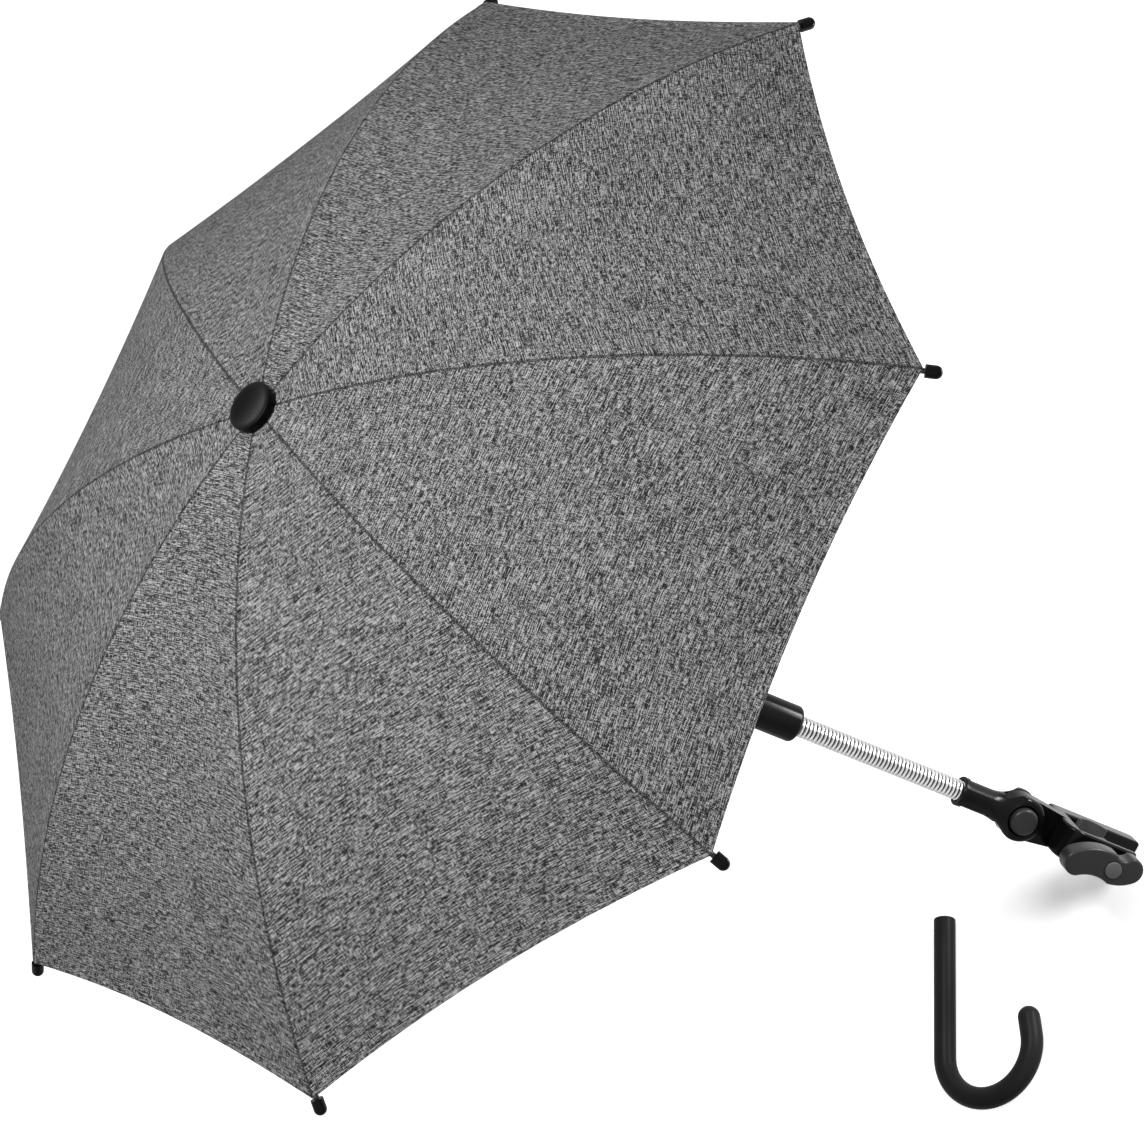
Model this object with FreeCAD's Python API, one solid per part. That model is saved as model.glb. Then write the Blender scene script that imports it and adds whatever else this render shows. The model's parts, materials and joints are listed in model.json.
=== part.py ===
import FreeCAD, Part
import math
import os
from FreeCAD import Vector

# Pram parasol: a clamp with a wing screw, a push-button knuckle, a wound gooseneck,
# a tilt joint and an eight-rib folding canopy, with a spare J handle beside it.
# Lengths are millimetres. The origin is the middle of the tube that the clamp grips,
# +X runs along that tube and +Z is the axis of the open canopy.

# Fits
pivot_gap = 0.05
slide_gap = 0.15
face_gap = 0.3
cloth_gap = 0.3
cut_over = 1.0

# Canopy and ribs
rib_count = 8
rib_phase_deg = 12.0
canopy_radius = 375.0
canopy_drop = 136.0
scallop_depth = 8.5
cloth_thickness = 0.9
cloth_inner_radius = 11.8
cloth_setback = 4.0
rib_diameter = 3.2
tip_diameter = 7.6
tip_length = 9.8
tip_socket_depth = 6.0
closed_tip_radius = 24.0

# Crown, its wire ring and the cap
ring_radius = 9.0
ring_wire = 1.2
eye_diameter = 4.6
eye_width = 2.4
rib_tab_length = 8.0
crown_radius = 13.4
crown_depth = 3.4
crown_neck_wall = 1.6
crown_boss_height = 6.0
cap_radius = 15.5
cap_height = 5.5
cap_wall = 2.2
cap_edge = 1.6
cap_dish = 0.8

# Stretchers
stretcher_reach = 160.0
joiner_drop = 5.2
joiner_length = 9.0
joiner_wall = 1.0
lug_width = 2.0
lug_radius = 2.4
rivet_diameter = 2.0
rivet_head_diameter = 3.6
rivet_head_height = 0.7
stretcher_diameter = 2.6
stretcher_eye_diameter = 3.8
stretcher_eye_width = 2.2
stretcher_tab_length = 7.0
fork_cheek = 1.6
fork_length = 9.0
trunnion_diameter = 2.0
trunnion_length = 5.0

# Shaft and runner
shaft_diameter = 10.0
shaft_wall = 1.0
crown_to_tilt = 416.0
runner_wall = 1.3
runner_head_radius = 12.6
runner_head_top = 4.0
runner_head_depth = 6.0
runner_neck_length = 16.0
grip_length = 34.0
grip_radius = 9.5
grip_flange_radius = 12.5
grip_flange_height = 4.0
runner_button_diameter = 7.0
runner_button_proud = 1.8
runner_button_travel = 1.5

# Tilt joint and collar
tilt_rest_deg = 26.0
arm_length = 325.0
tongue_width = 9.0
tongue_radius = 10.0
tongue_socket_radius = 7.5
tongue_socket_start = 13.0
tongue_socket_length = 20.0
tilt_cheek = 6.0
tilt_cheek_radius = 11.0
tilt_pin_diameter = 5.0
tilt_pin_head_diameter = 10.0
tilt_pin_head_height = 2.2
collar_radius = 12.9
collar_length = 85.0
collar_shoulder = 13.5
collar_edge = 3.0

# Gooseneck
neck_radius = 6.4
neck_wire = 2.2
neck_pitch = 2.95
core_diameter = 9.8
core_seat = 14.0
neck_seat = 5.0

# Knuckle
knuckle_twist_deg = 30.0
knuckle_height = 60.0
knuckle_mouth = 109.0
eye_radius = 16.4
tongue_eye_radius = 16.0
knuckle_tongue = 12.0
knuckle_cheek = 6.2
flare_radius = 22.0
throat_radius = 30.0
throat_deg = 60.0
neck_spare = 0.5
fork_edge = 3.0
mouth_radius = 9.6
mouth_rim = 1.0
mouth_rim_height = 4.0
button_diameter = 19.4
button_proud = 4.0
button_travel = 3.0
button_edge = 2.2
button_sink = 1.8
knuckle_pin_diameter = 10.0
button_stem_diameter = 6.0

# Clamp
tube_radius = 12.5
jaw_width = 24.0
jaw_pad_thickness = 2.0
jaw_pad_half_angle = 60.0
back_jaw_thickness = 7.5
jaw_drop = 40.0
bridge_clearance = 10.0
bridge_thickness = 10.0
mouth_clearance = 0.5
front_arm_thickness = 6.0
front_arm_drop = 23.0
hump_radius = 13.0
clamp_corner = 5.0
arm_corner = 3.0
clamp_edge = 2.0
screw_diameter = 8.0
insert_diameter = 12.0
insert_flange_diameter = 16.0
insert_flange_height = 1.0
pad_radius = 10.5
pad_back = 3.0
pad_facing = 1.5
pad_half_angle = 34.0
screw_nose_diameter = 5.0
screw_nose_length = 2.0
screw_close = 2.0
screw_open = 4.5
knob_gap = 0.5
knob_rest_deg = 84.0
knob_hub_radius = 11.0
knob_lobe_radius = 9.5
knob_long_reach = 26.5
knob_short_reach = 13.5
knob_lobe_lift = 2.0
knob_shoulder_deg = 104.0
knob_root_deg = 56.0
knob_notch = 3.0
knob_thickness = 16.0
knob_boss = 2.0
knob_corner = 3.0
knob_edge = 2.0
knob_cap_radius = 6.6
knob_cap_depth = 2.0
knob_cap_proud = 1.2

# Spare handle, lying beside the clamp
handle_diameter = 16.0
handle_leg = 106.0
handle_bend_radius = 36.0
handle_bend_deg = 188.0
handle_tail = 13.0
handle_bore_depth = 32.0
handle_edge = 1.0
handle_top_x = -55.6
handle_top_y = 132.0
handle_heading_deg = 196.6

# Derived: rib arc, which leaves the crown ring level
rib_radius = rib_diameter / 2
crown_height = crown_to_tilt
rib_run = canopy_radius - ring_radius
rib_arc_radius = (rib_run ** 2 + canopy_drop ** 2) / (2 * canopy_drop)
rib_end_angle = math.asin(rib_run / rib_arc_radius)
rib_step_deg = 360.0 / rib_count

# Derived: stretcher pivot below the rib and the fold that brings the tips in
joiner_angle = math.asin((stretcher_reach - ring_radius) / rib_arc_radius)
joiner_x = stretcher_reach - joiner_drop * math.sin(joiner_angle)
joiner_z = (crown_height - rib_arc_radius * (1 - math.cos(joiner_angle))
            - joiner_drop * math.cos(joiner_angle))
stretcher_length = math.hypot(joiner_x - ring_radius, crown_height - joiner_z)
stretcher_open_angle = math.atan2(joiner_x - ring_radius, crown_height - joiner_z)
chord_length = math.hypot(rib_run, canopy_drop)
fold_angle = (math.atan2(rib_run, canopy_drop)
              - math.asin((closed_tip_radius - ring_radius) / chord_length))
runner_open = 2 * stretcher_length * math.cos(stretcher_open_angle)
runner_closed = 2 * stretcher_length * math.cos(stretcher_open_angle - fold_angle)
runner_travel = runner_closed - runner_open
runner_height = crown_height - runner_open

# Derived: arm and clamp
shaft_radius = shaft_diameter / 2
collar_low = arm_length - collar_length
neck_low = knuckle_mouth - neck_seat + neck_wire / 2
neck_high = collar_low + neck_seat - neck_wire / 2
neck_turns = round((neck_high - neck_low) / neck_pitch)
neck_socket_radius = math.hypot(neck_radius, neck_wire) + neck_wire / 2 + face_gap
knuckle_half = knuckle_tongue / 2
fork_half = knuckle_half + face_gap + knuckle_cheek
jaw_seat_radius = tube_radius + jaw_pad_thickness
back_face = jaw_seat_radius + back_jaw_thickness
bridge_low = tube_radius + bridge_clearance
bridge_top = bridge_low + bridge_thickness
pad_rear = tube_radius + pad_facing + pad_back
mouth_depth = pad_rear + screw_open + mouth_clearance
front_face = mouth_depth + front_arm_thickness
knob_back = front_face + insert_flange_height + screw_close + knob_gap
knob_front = knob_back + knob_thickness
tilt = math.radians(tilt_rest_deg)
twist = math.radians(knuckle_twist_deg)
rear_fall = math.sin(tilt) * math.cos(twist)
side_fall = math.sin(tilt) * math.sin(twist)
floor_height = (-(back_face - clamp_corner) * rear_fall - (jaw_drop - clamp_corner) * math.cos(tilt)
                - (jaw_width / 2 - clamp_edge) * side_fall - clamp_corner)

X_AXIS = Vector(1, 0, 0)
Y_AXIS = Vector(0, 1, 0)
Z_AXIS = Vector(0, 0, 1)
ORIGIN = Vector(0, 0, 0)


def arm_place(shape):
    """Turn a piece from the arm's own upright frame to its lean below the canopy."""
    placed = shape.copy()
    placed.rotate(ORIGIN, X_AXIS, -tilt_rest_deg)
    return placed


def clamp_place(shape):
    """Turn a piece of the knuckle or clamp about the arm, then lean it with the arm."""
    turned = shape.copy()
    turned.rotate(ORIGIN, Z_AXIS, -knuckle_twist_deg)
    return arm_place(turned)


def canopy_place(shape):
    """Move a piece from the canopy's frame, which starts at the tilt pivot."""
    placed = shape.copy()
    placed.translate(Vector(0, arm_length * math.sin(tilt), arm_length * math.cos(tilt)))
    return placed


def rib_angle_deg(index):
    """Azimuth of one rib about the canopy axis."""
    return rib_phase_deg + rib_step_deg * index


def around(shape, angle_deg):
    """Copy of a shape turned about the canopy axis."""
    turned = shape.copy()
    turned.rotate(ORIGIN, Z_AXIS, angle_deg)
    return turned


def cylinder(radius, length, base, direction):
    """Cylinder from a base point along a direction."""
    return Part.makeCylinder(radius, length, base, direction)


def centred_cylinder(radius, length, middle, direction):
    """Cylinder whose middle is given."""
    return Part.makeCylinder(radius, length, middle - direction * (length / 2), direction)


def box_between(low, high):
    """Box from its lowest to its highest corner."""
    size = high - low
    return Part.makeBox(size.x, size.y, size.z, low)


def revolved(points):
    """Solid of revolution about the Z axis from (radius, height) corners."""
    corners = [Vector(radius, 0, height) for radius, height in points]
    face = Part.Face(Part.makePolygon(corners + corners[:1]))
    return face.revolve(ORIGIN, Z_AXIS, 360)


def fused(shapes):
    """One clean solid from overlapping shapes."""
    return shapes[0].fuse(shapes[1:]).removeSplitter()


def along_x_edges(solid):
    """Straight edges that run along X."""
    found = []
    for edge in solid.Edges:
        if len(edge.Vertexes) == 2:
            run = edge.Vertexes[1].Point - edge.Vertexes[0].Point
            if abs(run.x) > 0.999 * edge.Length:
                found.append(edge)
    return found


def rib_point(angle, drop=0.0):
    """Point at an angle along the rib arc, and a distance below it."""
    reach = rib_arc_radius - drop
    return Vector(ring_radius + reach * math.sin(angle), 0,
                  crown_height - rib_arc_radius + reach * math.cos(angle))


def rib_direction(angle):
    """Outward direction of the rib at an angle along its arc."""
    return Vector(math.cos(angle), 0, -math.sin(angle))


def make_rib():
    """Rod on an arc, with a flat eye for the crown wire and a riveted stretcher lug."""
    start = math.asin(rib_tab_length / rib_arc_radius)
    section = Part.Circle(rib_point(start), rib_direction(start), rib_radius)
    face = Part.Face(Part.Wire(section.toShape()))
    arc_centre = Vector(ring_radius, 0, crown_height - rib_arc_radius)
    rod = face.revolve(arc_centre, Y_AXIS, math.degrees(rib_end_angle - start))
    pivot = Vector(ring_radius, 0, crown_height)
    eye = centred_cylinder(eye_diameter / 2, eye_width, pivot, Y_AXIS)
    tab = box_between(pivot + Vector(0, -eye_width / 2, -rib_radius),
                      pivot + Vector(rib_tab_length + rib_radius, eye_width / 2, rib_radius))
    clip_base = rib_point(joiner_angle) - rib_direction(joiner_angle) * (joiner_length / 2)
    clip = cylinder(rib_radius + joiner_wall, joiner_length, clip_base, rib_direction(joiner_angle))
    above = Part.makeBox(2 * joiner_length, 2 * joiner_length, joiner_length)
    above.translate(Vector(-joiner_length, -joiner_length, 0))
    above.rotate(ORIGIN, Y_AXIS, math.degrees(joiner_angle))
    above.translate(rib_point(joiner_angle))
    saddle_clip = clip.cut(above)
    joint = rib_point(joiner_angle, joiner_drop)
    lug = centred_cylinder(lug_radius, lug_width, joint, Y_AXIS)
    web = Part.makeBox(2 * lug_radius, lug_width, joiner_drop)
    web.translate(Vector(-lug_radius, -lug_width / 2, 0))
    web.rotate(ORIGIN, Y_AXIS, math.degrees(joiner_angle))
    web.translate(joint)
    rivet_length = lug_width + 2 * (face_gap + fork_cheek + face_gap)
    rivet = centred_cylinder(rivet_diameter / 2, rivet_length, joint, Y_AXIS)
    heads = []
    for side in (-1, 1):
        inner = joint + Y_AXIS * (side * rivet_length / 2)
        heads.append(cylinder(rivet_head_diameter / 2, rivet_head_height, inner, Y_AXIS * side))
    rib = fused([rod, eye, tab, saddle_clip, lug, web, rivet] + heads)
    hole = centred_cylinder(ring_wire / 2 + 3 * pivot_gap, eye_width + 2 * cut_over, pivot, Y_AXIS)
    return rib.cut(hole)


def make_rib_tip():
    """Moulded end cap with a round nose, socketed over the rib's end."""
    end = rib_point(rib_end_angle)
    heading = rib_direction(rib_end_angle)
    base = end - heading * tip_socket_depth
    nose = tip_diameter / 2
    body = cylinder(nose, tip_length - nose, base, heading)
    ball = Part.makeSphere(nose, base + heading * (tip_length - nose))
    cap = fused([body, ball])
    socket = cylinder(rib_radius + pivot_gap, tip_socket_depth, base, heading)
    return cap.cut(socket)


def make_stretcher():
    """Strut with a trunnion at the runner end and a fork at the rib end."""
    along = Vector(1, 0, 0)
    eye = centred_cylinder(stretcher_eye_diameter / 2, stretcher_eye_width, ORIGIN, Y_AXIS)
    trunnion = centred_cylinder(trunnion_diameter / 2, trunnion_length, ORIGIN, Y_AXIS)
    half_tab = stretcher_diameter / 2
    tab = box_between(Vector(0, -stretcher_eye_width / 2, -half_tab),
                      Vector(stretcher_tab_length, stretcher_eye_width / 2, half_tab))
    fork_start = stretcher_length - fork_length
    rod_start = stretcher_tab_length - half_tab
    rod = cylinder(half_tab, fork_start + half_tab - rod_start, along * rod_start, along)
    half_fork = lug_width / 2 + face_gap + fork_cheek
    outer = Vector(stretcher_length, 0, 0)
    block = box_between(Vector(fork_start, -half_fork, -lug_radius),
                        Vector(stretcher_length, half_fork, lug_radius))
    nose = centred_cylinder(lug_radius, 2 * half_fork, outer, Y_AXIS)
    strut = fused([eye, trunnion, tab, rod, block, nose])
    slot_start = stretcher_length - lug_radius - 2 * face_gap
    slot = box_between(Vector(slot_start, -lug_width / 2 - face_gap, -2 * lug_radius),
                       Vector(stretcher_length + 2 * lug_radius, lug_width / 2 + face_gap, 2 * lug_radius))
    hole = centred_cylinder(rivet_diameter / 2 + pivot_gap, 3 * half_fork, outer, Y_AXIS)
    strut = strut.cut(slot).cut(hole)
    strut.rotate(ORIGIN, Y_AXIS, math.degrees(stretcher_open_angle) - 90)
    strut.translate(Vector(ring_radius, 0, runner_height))
    return strut


def cloth_arc(angle_deg):
    """Line of the cloth above one rib, from the cap to the tip."""
    rise = rib_radius + cloth_gap
    first = math.asin((cloth_inner_radius - ring_radius) / (rib_arc_radius + rise))
    last = math.asin((canopy_radius - cloth_setback - ring_radius) / (rib_arc_radius + rise))
    stations = [first, (first + last) / 2, last]
    start, middle, end = [rib_point(station, -rise) for station in stations]
    return around(Part.Arc(start, middle, end).toShape(), angle_deg)


def make_canopy_panel():
    """Cloth centred on one rib: half of the gore on each side, with its scalloped edge."""
    half_step = math.radians(rib_step_deg / 2)
    corner = canopy_radius - cloth_setback
    chord_middle = corner * math.cos(half_step)
    half_chord = corner * math.sin(half_step)
    scallop_radius = (scallop_depth ** 2 + half_chord ** 2) / (2 * scallop_depth)
    scallop_reach = chord_middle - scallop_depth + scallop_radius
    beyond = 2 * canopy_radius
    top = crown_height + canopy_drop
    halves = []
    for side in (-1, 1):
        neighbour = cloth_arc(side * rib_step_deg)
        gore = Part.makeRuledSurface(cloth_arc(0), neighbour).extrude(Vector(0, 0, cloth_thickness))
        middle = Vector(math.cos(half_step), side * math.sin(half_step), 0)
        inward = Vector(math.sin(half_step), -side * math.cos(half_step), 0) * (cloth_gap / 2)
        wedge_corners = [inward, Vector(beyond, 0, 0), middle * beyond + inward]
        wedge = Part.Face(Part.makePolygon(wedge_corners + wedge_corners[:1])).extrude(Vector(0, 0, top))
        scallop_centre = middle * scallop_reach
        scallop = cylinder(scallop_radius, top, scallop_centre, Z_AXIS)
        halves.append(gore.common(wedge).cut(scallop))
    return fused(halves)


def radial_slots(width, inner_radius, low, high):
    """Tools for the slots that ribs or stretchers swing in."""
    slot = box_between(Vector(inner_radius, -width / 2, low), Vector(2 * crown_radius, width / 2, high))
    return [around(slot, rib_angle_deg(index)) for index in range(rib_count)]


def make_crown():
    """Slotted notch on the shaft's top, bored for the wire that the rib eyes hang on."""
    low = crown_height - crown_depth
    rim_top = crown_height + rib_radius
    boss_top = crown_height + crown_boss_height
    neck = shaft_radius + crown_neck_wall
    body = revolved([(shaft_radius, low), (crown_radius, low), (crown_radius, rim_top),
                     (neck, rim_top), (neck, boss_top), (shaft_radius, boss_top)])
    tools = radial_slots(eye_width + 2 * face_gap, neck, low - cut_over, rim_top + cut_over)
    groove = Part.makeTorus(ring_radius, ring_wire / 2 + pivot_gap, Vector(0, 0, crown_height))
    return body.cut(tools + [groove])


def make_crown_ring():
    """Wire that carries the rib eyes."""
    return Part.makeTorus(ring_radius, ring_wire / 2, Vector(0, 0, crown_height))


def make_top_cap():
    """Dished cap with a rounded edge, seated on the crown's boss by its stem."""
    cloth_top = crown_height + rib_radius + cloth_gap + cloth_thickness
    rim = cloth_top + cloth_gap
    seat = crown_height + crown_boss_height
    top = max(rim, seat - cap_wall) + cap_height
    stem = shaft_radius - shaft_wall - pivot_gap
    stem_low = crown_height - crown_depth
    inside = cap_radius - cap_wall
    dish = cap_radius - 2 * cap_wall
    cap = revolved([(0, stem_low), (stem, stem_low), (stem, seat), (inside, seat), (inside, rim),
                    (cap_radius, rim), (cap_radius, top), (dish, top), (dish, top - cap_dish),
                    (0, top - cap_dish)])
    edges = []
    for edge in cap.Edges:
        round_edge = abs(edge.BoundBox.XMax - cap_radius) < 1e-6
        if round_edge and edge.BoundBox.ZMin > top - 1e-6:
            edges.append(edge)
    return cap.makeFillet(cap_edge, edges)


def make_shaft():
    """Thin tube from the tilt joint's socket to the crown."""
    low = tongue_socket_start + tongue_radius / 2
    high = crown_height + crown_boss_height
    tube = cylinder(shaft_radius, high - low, Vector(0, 0, low), Z_AXIS)
    bore = cylinder(shaft_radius - shaft_wall, high - low, Vector(0, 0, low), Z_AXIS)
    return tube.cut(bore)


def runner_grip_low():
    """Height of the runner's lower end."""
    return runner_height - runner_head_depth - runner_neck_length - grip_length


def runner_button_height():
    """Height of the runner's push button."""
    return runner_grip_low() + grip_flange_height + (grip_length - grip_flange_height) / 2


def make_runner():
    """Sliding sleeve: slotted head bored for the trunnions, slim neck and finger grip."""
    bore = shaft_radius + slide_gap
    neck = bore + runner_wall
    head_top = runner_height + runner_head_top
    head_low = runner_height - runner_head_depth
    grip_top = head_low - runner_neck_length
    grip_low = runner_grip_low()
    flange_top = grip_low + grip_flange_height
    shoulder = grip_radius - neck
    body = revolved([(bore, grip_low), (grip_flange_radius, grip_low), (grip_flange_radius, flange_top),
                     (grip_radius, flange_top + grip_flange_height), (grip_radius, grip_top - shoulder),
                     (neck, grip_top), (neck, head_low), (runner_head_radius, head_low),
                     (runner_head_radius, head_top), (bore, head_top)])
    tools = radial_slots(stretcher_eye_width + 2 * face_gap, neck, head_low - cut_over, head_top + cut_over)
    pivot = Vector(ring_radius, 0, runner_height)
    seat = centred_cylinder(trunnion_diameter / 2 + pivot_gap, trunnion_length + 2 * face_gap, pivot, Y_AXIS)
    for index in range(rib_count):
        tools.append(around(seat, rib_angle_deg(index)))
    button_bore = cylinder(runner_button_diameter / 2 + pivot_gap, grip_flange_radius,
                           Vector(0, -bore - runner_wall / 2, runner_button_height()), -Y_AXIS)
    return body.cut(tools + [button_bore])


def make_runner_button():
    """Push button in the runner's grip, with a domed face."""
    depth = grip_radius - shaft_radius - slide_gap - runner_wall / 2 - runner_button_travel - face_gap
    radius = runner_button_diameter / 2
    base = Vector(0, -grip_radius + depth, runner_button_height())
    stud = cylinder(radius, depth + runner_button_proud, base, -Y_AXIS)
    face_edges = [edge for edge in stud.Edges if edge.BoundBox.YMax < -grip_radius]
    return stud.makeFillet(runner_button_proud / 2, face_edges)


def make_tilt_tongue():
    """Socket for the shaft's foot with a rounded tongue that turns on the tilt pin."""
    top = tongue_socket_start + tongue_socket_length
    socket = cylinder(tongue_socket_radius, tongue_socket_length, Vector(0, 0, tongue_socket_start), Z_AXIS)
    eye = centred_cylinder(tongue_radius, tongue_width, ORIGIN, X_AXIS)
    half = min(tongue_radius, tongue_socket_radius)
    web = box_between(Vector(-tongue_width / 2, -half, 0),
                      Vector(tongue_width / 2, half, tongue_socket_start + shaft_wall))
    tongue = fused([socket, eye, web])
    foot = tongue_socket_start + tongue_radius / 2
    seat = cylinder(shaft_radius, top - foot, Vector(0, 0, foot), Z_AXIS)
    hole = centred_cylinder(tilt_pin_diameter / 2 + pivot_gap, 2 * tongue_width, ORIGIN, X_AXIS)
    return tongue.cut([seat, hole])


def tilt_half_width():
    """Half of the tilt fork's width over its cheeks."""
    return tongue_width / 2 + face_gap + tilt_cheek


def make_collar():
    """Sleeve over the gooseneck's top, with two cheeks for the tilt joint."""
    shoulder = arm_length - collar_shoulder
    edge = collar_edge
    sleeve = cylinder(collar_radius, shoulder - collar_low, Vector(0, 0, collar_low), Z_AXIS)
    sleeve = sleeve.makeFillet(edge, [rim for rim in sleeve.Edges if rim.BoundBox.ZLength < 1e-6])
    pivot = Vector(0, 0, arm_length)
    inner = tongue_width / 2 + face_gap
    pieces = [sleeve]
    for side in (-1, 1):
        start = pivot + X_AXIS * (side * inner)
        eye = cylinder(tilt_cheek_radius, tilt_cheek, start, X_AXIS * side)
        near = min(side * inner, side * (inner + tilt_cheek))
        web = box_between(Vector(near, -tilt_cheek_radius, shoulder - edge),
                          Vector(near + tilt_cheek, tilt_cheek_radius, arm_length))
        skirt = cylinder(collar_radius, collar_shoulder + edge, Vector(0, 0, shoulder - edge), Z_AXIS)
        pieces += [eye, web.common(skirt)]
    body = fused(pieces)
    neck_bore = cylinder(neck_socket_radius, neck_seat + neck_wire, Vector(0, 0, collar_low), Z_AXIS)
    core_bore = cylinder(core_diameter / 2 + pivot_gap, neck_seat + neck_wire + core_seat,
                         Vector(0, 0, collar_low), Z_AXIS)
    pin_hole = centred_cylinder(tilt_pin_diameter / 2, 4 * tilt_half_width(), pivot, X_AXIS)
    return body.cut([neck_bore, core_bore, pin_hole])


def make_tilt_pin():
    """Pivot pin with a rounded head on each end."""
    half = tilt_half_width()
    rod = centred_cylinder(tilt_pin_diameter / 2, 2 * half, Vector(0, 0, arm_length), X_AXIS)
    pieces = [rod]
    for side in (-1, 1):
        seat = Vector(side * half, 0, arm_length)
        head = cylinder(tilt_pin_head_diameter / 2, tilt_pin_head_height, seat, X_AXIS * side)
        outer = [edge for edge in head.Edges if abs(edge.BoundBox.Center.x) > half + tilt_pin_head_height / 2
                 and edge.BoundBox.XLength < 1e-6]
        pieces.append(head.makeFillet(tilt_pin_head_height / 2, outer))
    return fused(pieces)


def helix_station(turn, base, pitch):
    """Point and direction on the gooseneck's helix after a number of turns."""
    angle = 2 * math.pi * turn
    point = Vector(neck_radius * math.cos(angle), neck_radius * math.sin(angle), base + pitch * turn)
    heading = Vector(-neck_radius * math.sin(angle), neck_radius * math.cos(angle), pitch / (2 * math.pi))
    return point, heading.normalize()


def tangent_arc(start, corner, end):
    """Arc from start to end whose end tangents meet at a corner."""
    middle = (start + end) * 0.5
    chord = end - start
    swing = (corner - start).getAngle(chord)
    rise = (corner - middle).normalize() * (chord.Length / 2 * math.tan(swing / 2))
    return Part.Arc(start, middle + rise, end).toShape()


def biarc(first, second):
    """Two tangent arcs that join two stations of the helix."""
    start, start_heading = first
    end, end_heading = second
    span = end - start
    both = start_heading + end_heading
    spread = 2 * (1 - start_heading.dot(end_heading))
    lean = span.dot(both)
    reach = (math.sqrt(lean ** 2 + spread * span.dot(span)) - lean) / spread
    start_corner = start + start_heading * reach
    end_corner = end - end_heading * reach
    meeting = (start_corner + end_corner) * 0.5
    return [tangent_arc(start, start_corner, meeting), tangent_arc(meeting, end_corner, end)]


def make_gooseneck():
    """Wound wire of the flexible neck: one tube from the knuckle to the collar."""
    pitch = (neck_high - neck_low) / neck_turns
    stations = [helix_station(half / 2, neck_low, pitch) for half in range(2 * neck_turns + 1)]
    first, first_heading = stations[0]
    last, last_heading = stations[-1]
    edges = [Part.LineSegment(first - first_heading * neck_wire, first).toShape()]
    for half in range(2 * neck_turns):
        edges += biarc(stations[half], stations[half + 1])
    edges.append(Part.LineSegment(last, last + last_heading * neck_wire).toShape())
    path = Part.Wire(edges)
    section = Part.Circle(first - first_heading * neck_wire, first_heading, neck_wire / 2)
    wound = path.makePipeShell([Part.Wire(section.toShape())], True, False)
    samples = [helix_station(step / 24, neck_low, pitch)[0] for step in range(72)]
    nearest = min((samples[step] - samples[other]).Length
                  for step in range(24) for other in range(step + 12, 72))
    print("gooseneck turns", neck_turns, "least gap", round(nearest - neck_wire, 3))
    expected = math.pi * neck_wire ** 2 / 4 * path.Length
    print("gooseneck volume", round(wound.Volume, 1), "section times length", round(expected, 1))
    return Part.makeSolid(wound) if wound.ShapeType != "Solid" else wound


def make_gooseneck_core():
    """Flexible core that the wire is wound over, seated in the knuckle and the collar."""
    low = knuckle_mouth - neck_seat - neck_wire - core_seat
    high = collar_low + neck_seat + neck_wire + core_seat - face_gap
    return cylinder(core_diameter / 2, high - low, Vector(0, 0, low), Z_AXIS)


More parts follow.
